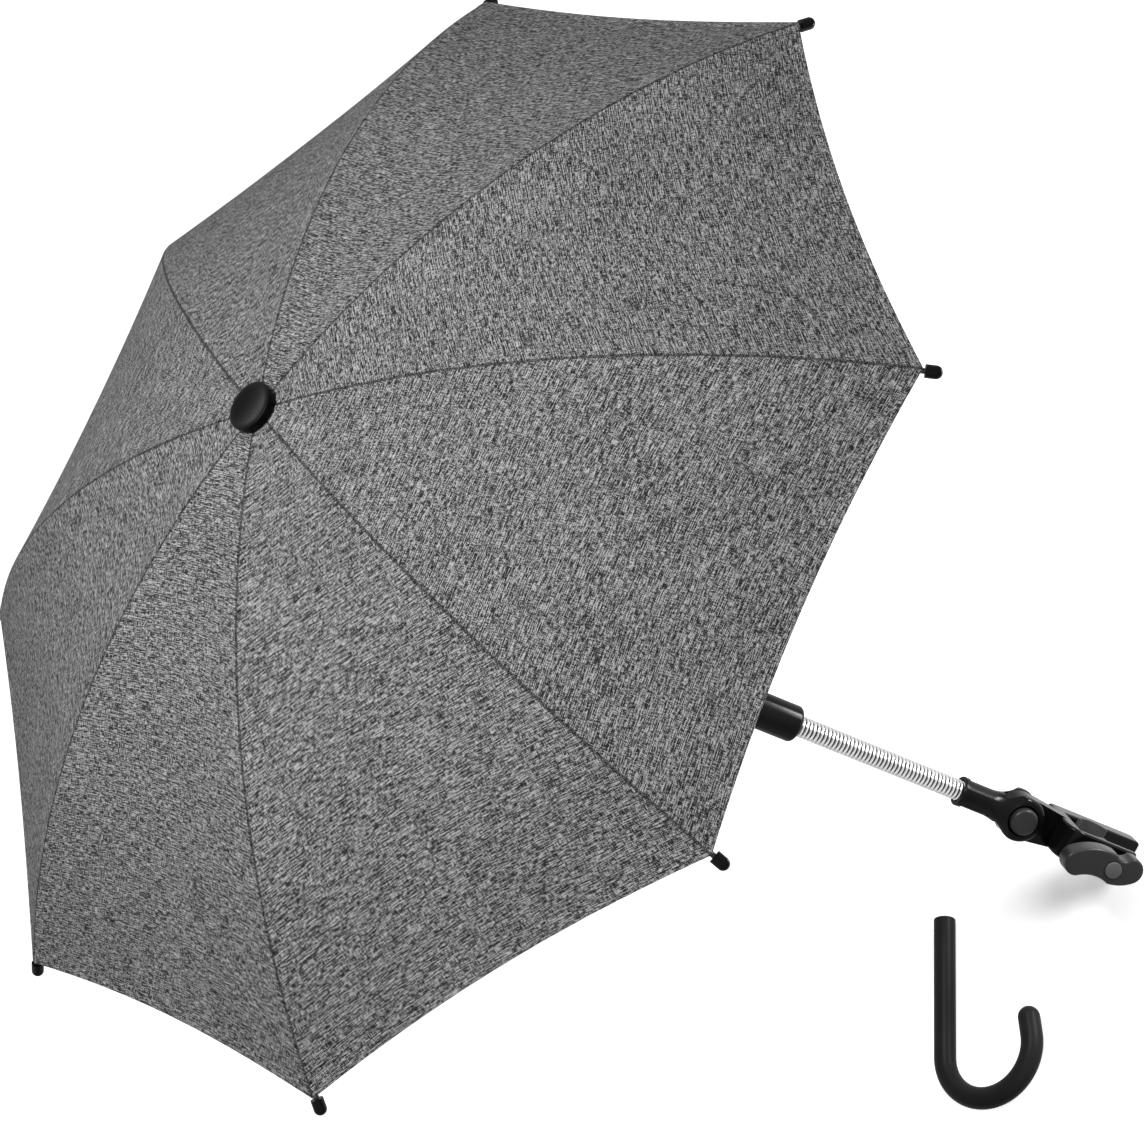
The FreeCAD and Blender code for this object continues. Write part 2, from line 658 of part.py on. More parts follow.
def make_knuckle_fork():
    """Round mouth and neck that flare into two eyes about the knuckle's tongue."""
    centre = Vector(0, 0, knuckle_height)
    neck_top = knuckle_mouth - mouth_rim_height
    reach = eye_radius + flare_radius
    side = mouth_radius + neck_spare
    flare_x = side + flare_radius
    flare_z = knuckle_height + math.sqrt(reach ** 2 - flare_x ** 2)
    flare = Vector(flare_x, 0, flare_z)
    touch = centre + (flare - centre) * (eye_radius / reach)
    start = Vector(side, 0, flare_z)
    middle = flare + ((start + touch) * 0.5 - flare).normalize() * flare_radius

    def across(point):
        return Vector(-point.x, point.y, point.z)

    top = Vector(side, 0, neck_top)
    outline = Part.Wire([
        Part.Arc(across(touch), centre - Z_AXIS * eye_radius, touch).toShape(),
        Part.Arc(touch, middle, start).toShape(),
        Part.LineSegment(start, top).toShape(),
        Part.LineSegment(top, across(top)).toShape(),
        Part.LineSegment(across(top), across(start)).toShape(),
        Part.Arc(across(start), across(middle), across(touch)).toShape()])
    plate = Part.Face(outline).extrude(Y_AXIS * (2 * fork_half))
    plate.translate(-Y_AXIS * fork_half)
    rims = [edge for edge in plate.Edges if edge.BoundBox.YLength < 1e-6
            and edge.BoundBox.ZMin < neck_top - 1e-6]
    plate = plate.makeFillet(fork_edge, rims)
    low = knuckle_height - 2 * eye_radius
    round_start = flare_z + mouth_radius / 2

    def on_throat(angle_deg):
        angle = math.radians(angle_deg)
        return Vector(mouth_radius + throat_radius * (1 - math.cos(angle)), 0,
                      round_start - throat_radius * math.sin(angle))

    bell = on_throat(throat_deg)
    stops = [on_throat(0), Vector(mouth_radius, 0, neck_top), Z_AXIS * neck_top, Z_AXIS * low,
             Vector(2 * eye_radius, 0, low), Vector(2 * eye_radius, 0, bell.z), bell]
    sides = [Part.LineSegment(stops[k], stops[k + 1]).toShape() for k in range(len(stops) - 1)]
    throat = Part.Arc(bell, on_throat(throat_deg / 2), on_throat(0)).toShape()
    trim = Part.Face(Part.Wire(sides + [throat])).revolve(ORIGIN, Z_AXIS, 360)
    rim = cylinder(mouth_radius + mouth_rim, mouth_rim_height, Vector(0, 0, neck_top), Z_AXIS)
    lip = [edge for edge in rim.Edges if edge.BoundBox.ZMin > knuckle_mouth - 1e-6]
    rim = rim.makeFillet(mouth_rim, lip)
    body = fused([plate.common(trim), rim])
    half_slot = knuckle_half + face_gap
    slot_top = knuckle_height + tongue_eye_radius + face_gap
    slot = box_between(Vector(-2 * eye_radius, -half_slot, low), Vector(2 * eye_radius, half_slot, slot_top))
    neck_bore = cylinder(neck_socket_radius, neck_seat + neck_wire,
                         Vector(0, 0, knuckle_mouth - neck_seat - neck_wire), Z_AXIS)
    core_low = knuckle_mouth - neck_seat - neck_wire - core_seat
    core_bore = cylinder(core_diameter / 2, core_seat + neck_wire, Vector(0, 0, core_low), Z_AXIS)
    bore_radius = button_diameter / 2 + pivot_gap
    button_bore = cylinder(bore_radius, 2 * fork_half, centre - Y_AXIS * half_slot, -Y_AXIS)
    sink = Part.makeCone(bore_radius, bore_radius + button_sink, button_sink,
                         centre - Y_AXIS * (fork_half - button_sink), -Y_AXIS)
    pin_hole = cylinder(knuckle_pin_diameter / 2, 2 * fork_half, centre, Y_AXIS)
    return body.cut([slot, neck_bore, core_bore, button_bore, sink, pin_hole])


def make_knuckle_pin():
    """Hollow pivot pin, fixed in the rear eye and turning in the tongue."""
    start = Vector(0, -knuckle_half, knuckle_height)
    length = knuckle_half + fork_half
    pin = cylinder(knuckle_pin_diameter / 2, length, start, Y_AXIS)
    bore_depth = length - knuckle_cheek / 2
    bore = cylinder(button_stem_diameter / 2 + pivot_gap, bore_depth, start, Y_AXIS)
    return pin.cut(bore)


def make_knuckle_button():
    """Domed push button in the front eye, guided by its stem in the pivot pin."""
    inner_face = -knuckle_half - face_gap - button_travel
    outer_face = -fork_half - button_proud
    inside = Vector(0, inner_face, knuckle_height)
    head = cylinder(button_diameter / 2, inner_face - outer_face, inside, -Y_AXIS)
    rim = [edge for edge in head.Edges if edge.BoundBox.YMax < outer_face + 1e-6]
    head = head.makeFillet(button_edge, rim)
    stem_end = fork_half - knuckle_cheek / 2 - button_travel - face_gap
    stem = cylinder(button_stem_diameter / 2, stem_end - inner_face, inside, Y_AXIS)
    return fused([head, stem])


def make_clamp_body():
    """C-shaped clamp: rear jaw, bridge, front arm for the screw and the knuckle's tongue."""
    corners = [Vector(0, back_face, -jaw_drop), Vector(0, back_face, bridge_top),
               Vector(0, -front_face, bridge_top), Vector(0, -front_face, -front_arm_drop),
               Vector(0, -mouth_depth, -front_arm_drop), Vector(0, -mouth_depth, bridge_low),
               Vector(0, jaw_seat_radius / 2, bridge_low), Vector(0, jaw_seat_radius / 2, -jaw_drop)]
    frame = Part.Face(Part.makePolygon(corners + corners[:1])).extrude(X_AXIS * jaw_width)
    frame.translate(X_AXIS * (-jaw_width / 2))
    seat = centred_cylinder(jaw_seat_radius + pivot_gap, 2 * jaw_width, ORIGIN, X_AXIS)

    def round_off(solid, radius, y, low, high):
        picked = [edge for edge in along_x_edges(solid) if abs(edge.BoundBox.Center.y - y) < 1e-6
                  and low < edge.BoundBox.Center.z < high]
        return solid.makeFillet(radius, picked)

    frame = round_off(frame, hump_radius, -front_face, 0, 2 * bridge_top)
    frame = round_off(frame, arm_corner, -front_face, -2 * front_arm_drop, 0)
    frame = round_off(frame, clamp_corner, back_face, -2 * jaw_drop, 2 * bridge_top)
    sides = [edge for edge in frame.Edges if edge.BoundBox.XLength < 1e-6]
    frame = frame.makeFillet(clamp_edge, sides).cut(seat)
    plate_low = bridge_top - bridge_thickness / 2
    half = jaw_width / 2
    eye_top = Vector(0, 0, knuckle_height + tongue_eye_radius)
    eye_left = Vector(-tongue_eye_radius, 0, knuckle_height)
    eye_right = Vector(tongue_eye_radius, 0, knuckle_height)
    foot_left = Vector(-half, 0, plate_low)
    foot_right = Vector(half, 0, plate_low)
    outline = Part.Wire([Part.Arc(eye_left, eye_top, eye_right).toShape(),
                         Part.LineSegment(eye_right, foot_right).toShape(),
                         Part.LineSegment(foot_right, foot_left).toShape(),
                         Part.LineSegment(foot_left, eye_left).toShape()])
    tongue = Part.Face(outline).extrude(Y_AXIS * knuckle_tongue)
    tongue.translate(Y_AXIS * (-knuckle_half))
    body = fused([frame, tongue])
    pin_hole = centred_cylinder(knuckle_pin_diameter / 2 + pivot_gap, 2 * knuckle_tongue,
                                Vector(0, 0, knuckle_height), Y_AXIS)
    insert_hole = cylinder(insert_diameter / 2, 2 * front_arm_thickness, Vector(0, -mouth_depth, 0), -Y_AXIS)
    relief = cylinder(insert_diameter / 2, front_arm_thickness, Vector(0, -mouth_depth / 2, 0), -Y_AXIS)
    return body.cut([pin_hole, insert_hole, relief])


def saddle(inner, outer, half_angle_deg, facing, width):
    """Curved pad along X on the round of the tube, facing +Y or -Y."""
    half = math.radians(half_angle_deg)

    def at(radius, angle):
        return Vector(-width / 2, facing * radius * math.cos(angle), radius * math.sin(angle))

    outline = Part.Wire([
        Part.Arc(at(inner, -half), at(inner, 0), at(inner, half)).toShape(),
        Part.LineSegment(at(inner, half), at(outer, half)).toShape(),
        Part.Arc(at(outer, half), at(outer, 0), at(outer, -half)).toShape(),
        Part.LineSegment(at(outer, -half), at(inner, -half)).toShape()])
    return Part.Face(outline).extrude(X_AXIS * width)


def make_jaw_pad():
    """Rubber lining of the rear jaw."""
    return saddle(tube_radius, jaw_seat_radius, jaw_pad_half_angle, 1, jaw_width)


def make_threaded_insert():
    """Flanged nut set in the front arm."""
    barrel = cylinder(insert_diameter / 2, front_arm_thickness, Vector(0, -mouth_depth, 0), -Y_AXIS)
    flange = cylinder(insert_flange_diameter / 2, insert_flange_height, Vector(0, -front_face, 0), -Y_AXIS)
    bore = cylinder(screw_diameter / 2 + pivot_gap, 2 * front_face, ORIGIN, -Y_AXIS)
    return fused([barrel, flange]).cut(bore)


def make_pressure_pad():
    """Round pad on the screw's end, hollowed to the tube with room for its facing."""
    disc = cylinder(pad_radius, pad_rear, ORIGIN, -Y_AXIS)
    hollow = centred_cylinder(tube_radius + pad_facing, 4 * pad_radius, ORIGIN, X_AXIS)
    nose = cylinder(screw_nose_diameter / 2 + pivot_gap, screw_nose_length, Vector(0, -pad_rear, 0), Y_AXIS)
    return disc.cut([hollow, nose])


def make_pad_facing():
    """Rubber facing of the pressure pad."""
    sheet = saddle(tube_radius, tube_radius + pad_facing - pivot_gap, pad_half_angle, -1, 2 * pad_radius)
    disc = cylinder(pad_radius - face_gap, 2 * tube_radius, ORIGIN, -Y_AXIS)
    return sheet.common(disc)


def make_clamp_screw():
    """Screw from the pressure pad to the wing knob, with a turned-down nose."""
    step = Vector(0, -pad_rear - face_gap, 0)
    nose = cylinder(screw_nose_diameter / 2, screw_nose_length + face_gap, step, Y_AXIS)
    end = knob_back + knob_thickness / 2
    shank = cylinder(screw_diameter / 2, end - pad_rear - face_gap, step, -Y_AXIS)
    return fused([nose, shank])


def make_wing_knob():
    """Knob with a short and a long lobe, notched like an S, on a round rear boss."""
    hub_top = Vector(0, 0, knob_hub_radius)

    def lobe_edges(reach):
        lobe = Vector(reach, 0, knob_lobe_lift)

        def on_lobe(angle_deg):
            angle = math.radians(angle_deg)
            return lobe + Vector(math.cos(angle), 0, math.sin(angle)) * knob_lobe_radius

        shoulder = on_lobe(knob_shoulder_deg)
        root = on_lobe(-knob_root_deg)
        notch = (hub_top + shoulder) * 0.5 - Z_AXIS * knob_notch
        chord = -hub_top - root
        lean = math.radians(90 - knob_root_deg) - math.atan2(-chord.z, -chord.x)
        outward = Vector(-chord.z, 0, chord.x)
        belly = root + chord * 0.5 + outward * (0.5 * math.tan(lean / 2))
        return [Part.Arc(hub_top, notch, shoulder).toShape(),
                Part.Arc(shoulder, on_lobe(0), root).toShape(),
                Part.Arc(root, belly, -hub_top).toShape()]

    long_lobe = lobe_edges(knob_long_reach)
    for edge in long_lobe:
        edge.rotate(ORIGIN, Y_AXIS, 180)
    outline = Part.Wire(lobe_edges(knob_short_reach) + long_lobe)
    wings = Part.Face(outline).extrude(-Y_AXIS * (knob_thickness - knob_boss))
    corners = [edge for edge in wings.Edges if edge.BoundBox.YLength > knob_boss
               and abs(edge.CenterOfMass.z) > knob_hub_radius - 1e-6]
    wings = wings.makeFillet(knob_corner, corners)
    rims = [edge for edge in wings.Edges if edge.BoundBox.YLength < 1e-6]
    wings = wings.makeFillet(knob_edge, rims)
    start = Vector(0, -knob_back, 0)
    wings.rotate(ORIGIN, Y_AXIS, knob_rest_deg)
    wings.translate(start - Y_AXIS * knob_boss)
    boss = cylinder(knob_hub_radius - knob_edge, knob_boss + knob_edge, start, -Y_AXIS)
    knob = fused([wings, boss])
    screw_hole = cylinder(screw_diameter / 2, knob_thickness / 2, start, -Y_AXIS)
    recess = cylinder(knob_cap_radius, knob_cap_depth, Vector(0, -knob_front, 0), Y_AXIS)
    return knob.cut([screw_hole, recess])


def make_knob_cap():
    """Round cover over the screw's end."""
    base = Vector(0, -knob_front + knob_cap_depth, 0)
    cap = cylinder(knob_cap_radius, knob_cap_depth + knob_cap_proud, base, -Y_AXIS)
    face = -knob_front - knob_cap_proud
    rim = [edge for edge in cap.Edges if edge.BoundBox.YMax < face + 1e-6]
    return cap.makeFillet(knob_cap_proud / 2, rim)


def make_j_handle():
    """Bent spare handle, bored at its top end and rounded at its tail, lying on the ground."""
    radius = handle_diameter / 2
    leg = cylinder(radius, handle_leg, ORIGIN, X_AXIS)
    top_edge = [edge for edge in leg.Edges if edge.BoundBox.XMax < 1e-6]
    leg = leg.makeFillet(handle_edge, top_edge)
    section = Part.Circle(Vector(handle_leg, 0, 0), X_AXIS, radius)
    bend_centre = Vector(handle_leg, handle_bend_radius, 0)
    bend = Part.Face(Part.Wire(section.toShape())).revolve(bend_centre, Z_AXIS, handle_bend_deg)
    swing = math.radians(handle_bend_deg)
    tail_start = bend_centre + Vector(math.sin(swing), -math.cos(swing), 0) * handle_bend_radius
    tail_heading = Vector(math.cos(swing), math.sin(swing), 0)
    tail = cylinder(radius, handle_tail, tail_start, tail_heading)
    tail_end = Part.makeSphere(radius, tail_start + tail_heading * handle_tail)
    handle = fused([leg, bend, tail, tail_end])
    handle = handle.cut(cylinder(shaft_radius + slide_gap, handle_bore_depth, ORIGIN, X_AXIS))
    handle.rotate(ORIGIN, Z_AXIS, handle_heading_deg)
    handle.translate(Vector(handle_top_x, handle_top_y, floor_height + radius))
    return handle


def write_part(name, shape):
    """Export one named piece."""
    shape.exportStep("parts/" + name + ".step")


def main():
    os.makedirs("parts", exist_ok=True)
    rib = make_rib()
    tip = make_rib_tip()
    stretcher = make_stretcher()
    panel = make_canopy_panel()
    for index in range(rib_count):
        angle = rib_angle_deg(index)
        number = str(index + 1)
        write_part("rib_" + number, canopy_place(around(rib, angle)))
        write_part("rib_tip_" + number, canopy_place(around(tip, angle)))
        write_part("stretcher_" + number, canopy_place(around(stretcher, angle)))
        write_part("canopy_panel_" + number, canopy_place(around(panel, angle)))
    canopy_pieces = {
        "top_cap": make_top_cap, "crown": make_crown, "crown_ring": make_crown_ring,
        "shaft_tube": make_shaft, "tilt_tongue": make_tilt_tongue,
        "runner": make_runner, "runner_button": make_runner_button}
    for name, make in canopy_pieces.items():
        write_part(name, canopy_place(make()))
    arm_pieces = {
        "collar": make_collar, "tilt_pin": make_tilt_pin, "gooseneck_coil": make_gooseneck,
        "gooseneck_core": make_gooseneck_core}
    for name, make in arm_pieces.items():
        write_part(name, arm_place(make()))
    clamp_pieces = {
        "knuckle_fork": make_knuckle_fork, "knuckle_pin": make_knuckle_pin,
        "knuckle_button": make_knuckle_button, "clamp_body": make_clamp_body, "jaw_pad": make_jaw_pad,
        "threaded_insert": make_threaded_insert, "pressure_pad": make_pressure_pad,
        "pressure_pad_facing": make_pad_facing, "clamp_screw": make_clamp_screw,
        "wing_knob": make_wing_knob, "knob_cap": make_knob_cap}
    for name, make in clamp_pieces.items():
        write_part(name, clamp_place(make()))
    write_part("j_handle", make_j_handle())


main()
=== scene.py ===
import json
import math

import bmesh
import bpy
from bpy.props import FloatProperty, FloatVectorProperty, IntProperty, PointerProperty
from mathutils import Matrix, Vector


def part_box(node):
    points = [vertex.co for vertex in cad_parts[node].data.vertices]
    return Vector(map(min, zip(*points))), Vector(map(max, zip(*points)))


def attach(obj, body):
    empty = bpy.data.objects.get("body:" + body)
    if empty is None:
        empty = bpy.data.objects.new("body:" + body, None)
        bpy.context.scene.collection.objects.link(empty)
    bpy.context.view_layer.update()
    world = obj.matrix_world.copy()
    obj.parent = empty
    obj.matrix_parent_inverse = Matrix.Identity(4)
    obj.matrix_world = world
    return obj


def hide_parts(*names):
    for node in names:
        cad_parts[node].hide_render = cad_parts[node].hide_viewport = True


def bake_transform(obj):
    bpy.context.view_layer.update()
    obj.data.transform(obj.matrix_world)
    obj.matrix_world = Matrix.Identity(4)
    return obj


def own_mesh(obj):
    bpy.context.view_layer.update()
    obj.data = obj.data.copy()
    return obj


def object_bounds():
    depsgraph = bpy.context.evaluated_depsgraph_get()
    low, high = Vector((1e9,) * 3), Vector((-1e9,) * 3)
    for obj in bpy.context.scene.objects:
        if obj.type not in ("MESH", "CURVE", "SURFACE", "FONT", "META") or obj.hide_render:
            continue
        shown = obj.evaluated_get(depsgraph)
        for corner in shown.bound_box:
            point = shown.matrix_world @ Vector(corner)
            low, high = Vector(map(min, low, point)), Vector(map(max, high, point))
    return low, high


bl_info = {
    "name": "Pram Parasol",
    "version": (1, 0, 0),
    "blender": (4, 5, 0),
    "location": "View3D > Sidebar > Parasol",
    "description": "Dresses the packed frame of a folding pram parasol",
    "category": "Object",
}

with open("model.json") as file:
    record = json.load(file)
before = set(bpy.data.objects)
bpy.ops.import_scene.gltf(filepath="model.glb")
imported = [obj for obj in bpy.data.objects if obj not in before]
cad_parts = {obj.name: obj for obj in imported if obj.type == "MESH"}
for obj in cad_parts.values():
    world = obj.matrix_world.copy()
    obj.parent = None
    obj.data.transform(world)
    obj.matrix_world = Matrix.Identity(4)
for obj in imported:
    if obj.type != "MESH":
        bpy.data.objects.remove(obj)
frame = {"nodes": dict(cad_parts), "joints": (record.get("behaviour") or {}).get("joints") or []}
cad_low, cad_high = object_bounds()
joints = {joint["name"]: joint for joint in frame["joints"]}

# Places that the frame gives
RIBS = 8
tilt_pivot = Vector(joints["canopy_tilt"]["pos_m"])
first_rib = Vector(joints["canopy_fold"]["pos_m"]) - tilt_pivot
RING_RADIUS = first_rib.xy.length
CROWN_HEIGHT = first_rib.z
RIB_PHASE = math.atan2(first_rib.y, first_rib.x)
RIB_STEP = 2 * math.pi / RIBS
ARM = Matrix.Rotation(-math.atan2(tilt_pivot.y, tilt_pivot.z), 4, "X")
CANOPY = Matrix.Translation(tilt_pivot)
FLOOR = cad_low.z

# Meshes: rows and columns of half a petal, half gores that squeeze the seam, and the gooseneck's sides
PETAL_ROWS = 54
PETAL_COLUMNS = 16
NARROW_GORE = 0.012
STEPS_PER_TURN = 22
WIRE_SIDES = 10
CORE_SIDES = 28
CORE_CUTS = 40


class CanopySizes(bpy.types.PropertyGroup):
    """Cut and sewing of the cloth, in the frame's metres."""
    radius: FloatProperty(name="Radius", description="From the shaft to a rib's end",
                          default=0.375, unit="LENGTH")
    drop: FloatProperty(name="Drop", description="Height of the dome", default=0.136, unit="LENGTH")
    cloth_rise: FloatProperty(name="Cloth rise", description="Cloth above the middle of the rib",
                              default=0.00235, unit="LENGTH")
    cloth_thickness: FloatProperty(name="Thickness", description="Thickness of the cloth",
                                   default=0.0007, unit="LENGTH")
    inner_radius: FloatProperty(name="Inner radius", description="Hole under the cap",
                                default=0.0118, unit="LENGTH")
    setback: FloatProperty(name="Setback", description="Cloth corner short of the rib's end",
                           default=0.004, unit="LENGTH")
    scallop: FloatProperty(name="Scallop", description="Hollow of the edge between two tips",
                           default=0.0085, unit="LENGTH")
    sag: FloatProperty(name="Sag", description="Drawn-in middle of a gore", default=0.004, unit="LENGTH")
    hem: FloatProperty(name="Hem", description="Width of the sewn hem", default=0.007, unit="LENGTH")
    seam: FloatProperty(name="Seam", description="Half width of the groove along a rib",
                        default=0.0011, unit="LENGTH")
    groove_depth: FloatProperty(name="Groove", description="Depth of the groove along a rib",
                                default=0.0006, unit="LENGTH")
    hem_lift: FloatProperty(name="Hem lift", description="Doubled cloth of the hem above the rest",
                            default=0.0004, unit="LENGTH")
    hem_step: FloatProperty(name="Hem step", description="Width of the step at the edge and beside the hem",
                            default=0.0006, unit="LENGTH")
    fold_keep: FloatProperty(name="Fold", description="Share of a petal's width when folded",
                             default=0.11, subtype="FACTOR")


class ArmSizes(bpy.types.PropertyGroup):
    """Gooseneck, measured up the arm from the gripped tube, and the knob's cover."""
    neck_radius: FloatProperty(name="Neck radius", description="Middle of the wound wire",
                               default=0.0064, unit="LENGTH")
    neck_wire: FloatProperty(name="Wire", description="Thickness of the wound wire",
                             default=0.0022, unit="LENGTH")
    neck_turns: IntProperty(name="Turns", description="Turns of the gooseneck", default=47)
    neck_low: FloatProperty(name="Neck foot", description="Foot of the wound wire",
                            default=0.1051, unit="LENGTH")
    neck_high: FloatProperty(name="Neck top", description="Top of the wound wire",
                             default=0.2439, unit="LENGTH")
    core_radius: FloatProperty(name="Core", description="Radius of the flexible core",
                               default=0.0049, unit="LENGTH")
    core_seat: FloatProperty(name="Core seat", description="Core beyond each end of the wound wire",
                             default=0.0171, unit="LENGTH")
    cover_radius: FloatProperty(name="Cover radius", description="Round cover of the knob",
                                default=0.0066, unit="LENGTH")
    cover_thickness: FloatProperty(name="Cover thickness", description="Thickness of the knob's cover",
                                   default=0.0032, unit="LENGTH")
    cover_gap: FloatProperty(name="Cover gap", description="Groove round the knob's cover",
                             default=0.0006, unit="LENGTH")
    neck_grip: FloatProperty(name="Grip", description="Wound wire that knuckle and collar hold at each end",
                             default=0.0069, unit="LENGTH")


class CapSizes(bpy.types.PropertyGroup):
    """Profile of the dished cap."""
    rim_lift: FloatProperty(name="Rim lift", description="Foot of the cap above the ring of the ribs",
                            default=0.0031, unit="LENGTH")
    dish_depth: FloatProperty(name="Dish depth", description="Depth of the dish", default=0.0008, unit="LENGTH")
    dish_inset: FloatProperty(name="Dish inset", description="Floor of the dish short of the cap's side",
                              default=0.0048, unit="LENGTH")
    lip_inset: FloatProperty(name="Lip inset", description="Width of the flat lip", default=0.0036,
                             unit="LENGTH")
    wall: FloatProperty(name="Wall", description="Thickness of the side", default=0.0022, unit="LENGTH")
    hollow: FloatProperty(name="Hollow", description="Depth of the hollow below", default=0.002, unit="LENGTH")
    edge: FloatProperty(name="Edge", description="Radius of the edges", default=0.0008, unit="LENGTH")


class Finishes(bpy.types.PropertyGroup):
    """Colours of the parasol's finishes, and the cloth's yarn and thread."""
    cloth_dark: FloatVectorProperty(name="Cloth dark", description="Dark yarn", subtype="COLOR",
                                    default=(0.018, 0.018, 0.018))
    cloth_light: FloatVectorProperty(name="Cloth light", description="Light yarn", subtype="COLOR",
                                     default=(0.72, 0.72, 0.72))
    yarn_width: FloatProperty(name="Yarn width", description="Spacing of the yarn's streaks",
                              default=0.00052, unit="LENGTH")
    streak_length: FloatProperty(name="Streak length", description="Spacing of the streaks along the yarn",
                                 default=0.004, unit="LENGTH")
    thread: FloatVectorProperty(name="Thread", description="Thread in seams and hem", subtype="COLOR",
                                default=(0.018, 0.018, 0.018))
    seam_line: FloatProperty(name="Seam line", description="Half width of the dark line along a rib",
                             default=0.001, unit="LENGTH")
    stitch_inset: FloatProperty(name="Stitch inset", description="Stitches from the edge of the cloth",
                                default=0.0058, unit="LENGTH")
    stitch_width: FloatProperty(name="Stitch width", description="Half width of a stitch",
                                default=0.00045, unit="LENGTH", precision=5)
    stitch_pitch: FloatProperty(name="Stitch pitch", description="Half of the distance between stitches",
                                default=0.0016, unit="LENGTH")
    stitch_gap: FloatProperty(name="Stitch gap", description="Half of the gap between stitches",
                              default=0.0005, unit="LENGTH")
    black: FloatVectorProperty(name="Black", description="Moulded black plastic", subtype="COLOR",
                               default=(0.003, 0.003, 0.003))
    handle: FloatVectorProperty(name="Handle", description="Bent handle", subtype="COLOR",
                                default=(0.016, 0.016, 0.016))
    grey: FloatVectorProperty(name="Grey", description="Dark grey knob", subtype="COLOR",
                              default=(0.019, 0.019, 0.0193))
    # Painted light: the cover is a much lighter grey than the knob, standing in for the light that falls on
    # that side of the knob.
    cover: FloatVectorProperty(name="Cover", description="Round cover of the knob", subtype="COLOR",
                               default=(0.09, 0.09, 0.091))
    enamel: FloatVectorProperty(name="Enamel", description="Ribs and stretchers", subtype="COLOR",
                                default=(0.02, 0.02, 0.021))
    steel: FloatVectorProperty(name="Steel", description="Bright steel", subtype="COLOR",
                               default=(0.58, 0.58, 0.59))


class StudioLight(bpy.types.PropertyGroup):
    """Lamps, sky and floor of the stage."""
    top_power: FloatProperty(name="Top", description="Broad lamp over the canopy", default=16.5, unit="POWER")
    key_power: FloatProperty(name="Key", description="Lamp under the canopy", default=1.7, unit="POWER")
    strip_power: FloatProperty(name="Strip", description="Low strip lamp beside the arm", default=5.5,
                               unit="POWER")
    sky: FloatProperty(name="Sky", description="Strength of the even light from all round", default=0.08)
    # Painted shade: round the clamp's shadow the floor's glow is dimmed, down to this white at the middle of
    # that spot.
    floor_glow: FloatProperty(name="Floor glow", description="White of the floor by the clamp without light",
                              default=0.36)
    painted_shade_place: FloatVectorProperty(name="Shade place", description="Where the floor shows the clamp's shadow",
                                     size=2, default=(-0.03, 0.05), unit="LENGTH")
    painted_shade_radius: FloatProperty(name="Shade radius", description="How far from there the floor shows it",
                                default=0.18, unit="LENGTH")


class StudioCamera(bpy.types.PropertyGroup):
    """Where the camera stands and how it is turned."""
    place: FloatVectorProperty(name="Place", description="Where the camera stands", subtype="TRANSLATION",
                               default=(-0.54668, -1.20001, 1.7655))
    forward: FloatVectorProperty(name="Forward", description="Where the camera looks", subtype="DIRECTION",
                                 default=(0.29021, 0.67784, -0.6755))
    right: FloatVectorProperty(name="Right", description="Right-hand side of the image", subtype="DIRECTION",
                               default=(0.27547, -0.73518, -0.61938))
    lens: FloatProperty(name="Lens", description="Focal length in mm for a sensor 36 mm wide", default=96.742,
                        unit="CAMERA")


class Wire:
    """A node's output that takes part in Python expressions."""

    def __init__(self, finish, socket):
        self.finish = finish
        self.socket = socket

    def maths(self, operation, first, second):
        return self.finish.node("ShaderNodeMath", {"operation": operation}, {0: first, 1: second})

    def __add__(self, other):
        return self.maths("ADD", self, other)

    def __radd__(self, other):
        return self.maths("ADD", other, self)

    def __sub__(self, other):
        return self.maths("SUBTRACT", self, other)

    def __rsub__(self, other):
        return self.maths("SUBTRACT", other, self)

    def __mul__(self, other):
        return self.maths("MULTIPLY", self, other)

    def __rmul__(self, other):
        return self.maths("MULTIPLY", other, self)

    def __lt__(self, other):
        return self.maths("LESS_THAN", self, other)

    def __gt__(self, other):
        return self.maths("GREATER_THAN", self, other)


class NodeMaker:
    """A node tree under construction."""

    def __init__(self, holder):
        holder.use_nodes = True
        self.tree = holder.node_tree
        self.tree.nodes.clear()

    def node(self, kind, settings=None, inputs=None, output=0):
        """Add a node, set it up, feed its sockets and give one of its outputs."""
        made = self.tree.nodes.new(kind)
        for key, value in (settings or {}).items():
            if key == "stops":
                self.set_stops(made.color_ramp, value)
            else:
                setattr(made, key, value)
        for key, value in (inputs or {}).items():
            if isinstance(value, Wire):
                self.tree.links.new(value.socket, made.inputs[key])
            else:
                made.inputs[key].default_value = value
        return Wire(self, made.outputs[output]) if made.outputs else made

    def set_stops(self, ramp, stops):
        """Give a colour ramp its stops."""
        while len(ramp.elements) < len(stops):
            ramp.elements.new(1.0)
        for element, (position, value) in zip(ramp.elements, stops):
            element.position = position
            element.color = (value, value, value, 1.0)

    def outputs(self, kind, *names, settings=None, inputs=None):
        """Several outputs of one new node."""
        made = self.node(kind, settings, inputs).socket.node
        return [Wire(self, made.outputs[name]) for name in names]

    def rays(self):
        """1 each for rays from the camera, from a gloss and through glass."""
        return self.outputs("ShaderNodeLightPath", "Is Camera Ray", "Is Glossy Ray", "Is Transmission Ray")

    def seen_by_lens(self):
        """1 for rays that come from the camera, or from it by gloss or through glass."""
        lens, gloss, through = self.rays()
        return self.node("ShaderNodeClamp", None, {0: lens + gloss + through})


